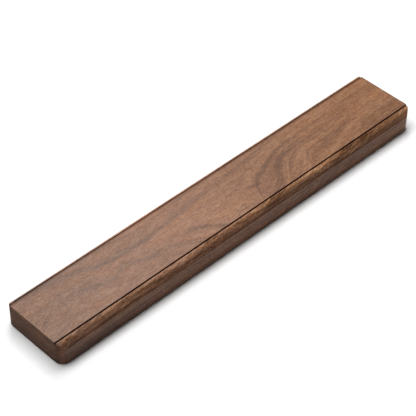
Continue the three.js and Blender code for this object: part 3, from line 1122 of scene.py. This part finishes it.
def make_screw(node, material):
    head, shank, sink, length = screw_sizes(node)
    centre = middle(node)
    low = BACK_Z
    rim = 0.12 * MM
    piece_mesh = bmesh.new()
    turned(piece_mesh, (
        (head - 2.2 * rim, low),
        (head - 0.8 * rim, low + 0.2 * rim),
        (head, low + rim),
        (head, low + 1.6 * rim),
        (shank * 1.02, low + sink),
        (shank * 0.9, low + sink + 0.3 * MM),
    ), centre)
    piece = as_object(piece_mesh, node + "_turned")
    turn = Matrix.Rotation(math.radians(RECESS_TURNS[node]), 4, "Z")
    blades = []
    for extra in (0, 90):
        blade = bmesh.new()
        reach, thick = head * 0.58, head * 0.13
        rows = ((1.0, low - MM), (1.0, low), (0.35, low + sink * 0.95))
        loft([
            ring_at(reach * grow, thick * (0.4 + 0.6 * grow), 0.05 * MM, z, Vector((0, 0, 0)))
            for grow, z in rows
        ], blade)
        spin = Matrix.Rotation(math.radians(extra), 4, "Z")
        bmesh.ops.transform(blade, matrix=Matrix.Translation((centre.x, centre.y, 0)) @ turn @ spin,
                            verts=blade.verts)
        blades.append(blade)
    cut(piece, *blades)
    joined = bmesh.new()
    joined.from_mesh(piece.data)
    threaded_shank(joined, centre, shank, low + sink, low + length)
    joined.to_mesh(piece.data)
    joined.free()
    shade(piece, 40)
    adopt(piece, material, node)


def make_pads(material):
    for node in nodes_named("pad"):
        low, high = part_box(node)
        radius = (high.x - low.x) / 2
        edge = 0.3 * MM
        profile = [(0.02 * MM, low.z), (radius * 0.72, low.z)]
        for i in range(1, 7):
            angle = i / 6 * math.pi / 2
            profile.append((
                radius - edge * (1 - math.sin(angle)),
                low.z + edge * (1 - math.cos(angle)),
            ))
        profile += [(radius, high.z - 0.1 * MM), (radius - 0.1 * MM, high.z)]
        body = bmesh.new()
        turned(body, profile, middle(node))
        piece = as_object(body, node + "_moulded")
        shade(piece)
        adopt(piece, material, node)


def make_inserts():
    nickel = nickel_plate()
    strip = mill_steel("strip_steel", (0.36, 0.37, 0.39), 0.42)
    pale = pale_wood()
    for node in nodes_named("magnet"):
        piece = as_object(box_slab(node, 0.5 * MM, 0.35 * MM), node + "_block")
        shade(piece)
        adopt(piece, nickel, node)
    for node in nodes_named("steel_strip"):
        piece = as_object(box_slab(node, half_of(node).y, 0.15 * MM), node + "_bar")
        shade(piece)
        adopt(piece, strip, node)
    for node in nodes_named("batten"):
        piece = as_object(box_slab(node, half_of(node).y, 0.3 * MM), node + "_filler")
        shade(piece)
        adopt(piece, pale, node)


screw_metal = zinc_plate("screw_zinc", (0.66, 0.60, 0.44), 0.32)
make_bar()
make_cover()
make_hangers(mill_steel("hanger_zinc", (0.55, 0.56, 0.58), 0.34))
for name in nodes_named("hanger_screw") + nodes_named("cover_screw"):
    make_screw(name, screw_metal)
make_pads(silicone())
make_inserts()

# ------------------------------------------------------------------ stage

CAMERA_AZIMUTH = -44.59
CAMERA_ELEVATION = 43.56
CAMERA_ROLL = 0.60
CAMERA_DISTANCE = 1.330
CAMERA_TARGET = Vector((0.0010, 0.0164, 0.0))
LENS_MM = 138.6
SENSOR_MM = 36.0

ROOM_BRIGHT_SIDE = 150  # azimuth in degrees
ROOM_BRIGHTENS = (0.0, 0.9)  # cosines of the angle from that side
HORIZON_FADE = (-0.02, -0.05)
LIGHT_DISTANCE = 2.0
SOFTBOX_PLACE = (180, 76.5)  # azimuth and elevation in degrees
SOFTBOX_SIZE = (2.05, 1.06)
SOFTBOX_POWER = 68
PANEL_PLACE = (144, 47)
PANEL_SIZE = (0.35, 0.35)
PANEL_POWER = 6
ROOM_FRONT = 0.03
ROOM_BACK = 0.3
ROOM_BELOW = 0.9
FLOOR_RADIUS = 4.0


def direction(azimuth, elevation):
    """Unit vector from the object towards that azimuth and elevation."""
    a, e = math.radians(azimuth), math.radians(elevation)
    return Vector((math.sin(a) * math.cos(e), -math.cos(a) * math.cos(e), math.sin(e)))


def make_camera():
    data = bpy.data.cameras.new("camera")
    data.lens = LENS_MM
    data.sensor_width = SENSOR_MM
    data.clip_start = 0.05
    data.clip_end = 100
    camera = bpy.data.objects.new("camera", data)
    bpy.context.scene.collection.objects.link(camera)
    back = direction(CAMERA_AZIMUTH, CAMERA_ELEVATION)
    turn = (-back).to_track_quat("-Z", "Y").to_matrix().to_4x4()
    roll = Matrix.Rotation(math.radians(CAMERA_ROLL), 4, "Z")
    camera.matrix_world = Matrix.Translation(CAMERA_TARGET + back * CAMERA_DISTANCE) @ turn @ roll
    bpy.context.scene.camera = camera


def area_light(name, place, size, power):
    """A rectangular light at an azimuth and elevation, facing the object."""
    data = bpy.data.lights.new(name, "AREA")
    data.shape = "RECTANGLE"
    data.size, data.size_y = size
    data.energy = power
    lamp = bpy.data.objects.new(name, data)
    back = direction(*place)
    lamp.location = back * LIGHT_DISTANCE
    lamp.rotation_mode = "QUATERNION"
    lamp.rotation_quaternion = (-back).to_track_quat("-Z", "Y")
    bpy.context.scene.collection.objects.link(lamp)


def make_floor():
    """White paper, open under the bar and clear from below, so that the back can be looked at."""
    inset = 1.5 * MM
    opening = ring_at(
        HALF_LENGTH - inset, HALF_WIDTH - inset, CORNER_RADIUS - inset, 0, Vector((0, 0, 0))
    )
    bm = bmesh.new()
    inner = [bm.verts.new(point) for point in opening]
    outer = [bm.verts.new(point.normalized() * FLOOR_RADIUS) for point in opening]
    bridge(bm, outer, inner)
    floor = as_object(bm, "floor")
    shader = Shader("floor_paper")
    grain = shader.noise(shader.place((0.4, 0.4, 0.4)), detail=4.0)
    shader.set(
        Base_Color=shader.mix(grain, (0.69, 0.69, 0.69, 1), (0.72, 0.72, 0.72, 1)),
        Roughness=shader.between(grain, 0.3, 0.7, 0.85, 0.95),
        Specular_IOR_Level=0.2,
    )
    shader.bump(grain, 0.02 * MM, 0.2)
    clear = shader.node("ShaderNodeBsdfTransparent")
    behind = shader.node("ShaderNodeNewGeometry").outputs["Backfacing"]
    either = shader.node(
        "ShaderNodeMixShader", {0: behind, 1: shader.surface.outputs[0], 2: clear.outputs[0]}
    )
    shader.feed(shader.output.inputs["Surface"], either.outputs[0])
    floor.data.materials.append(shader.material)


def make_world():
    """Soft grey room: brighter behind the bar than on the camera's side, white from below."""
    world = bpy.data.worlds.new("studio")
    room = Nodes(world)
    place = room.node("ShaderNodeTexCoord").outputs["Generated"]
    towards = room.node(
        "ShaderNodeVectorMath",
        {0: place, 1: direction(ROOM_BRIGHT_SIDE, 0)},
        operation="DOT_PRODUCT",
    )
    side = room.between(towards.outputs["Value"], *ROOM_BRIGHTENS, ROOM_FRONT, ROOM_BACK)
    below = room.between(room.split(place)[2], *HORIZON_FADE, smooth=False)
    strength = room.node("ShaderNodeMix", {0: below, 2: side, 3: ROOM_BELOW}).outputs[0]
    background = room.node(
        "ShaderNodeBackground", {"Color": (1, 1, 1, 1), "Strength": strength}
    )
    room.node("ShaderNodeOutputWorld", {"Surface": background.outputs[0]})
    bpy.context.scene.world = world


make_camera()
make_floor()
make_world()
area_light("softbox", SOFTBOX_PLACE, SOFTBOX_SIZE, SOFTBOX_POWER)
area_light("back_panel", PANEL_PLACE, PANEL_SIZE, PANEL_POWER)
bpy.context.scene.view_settings.view_transform = "Standard"
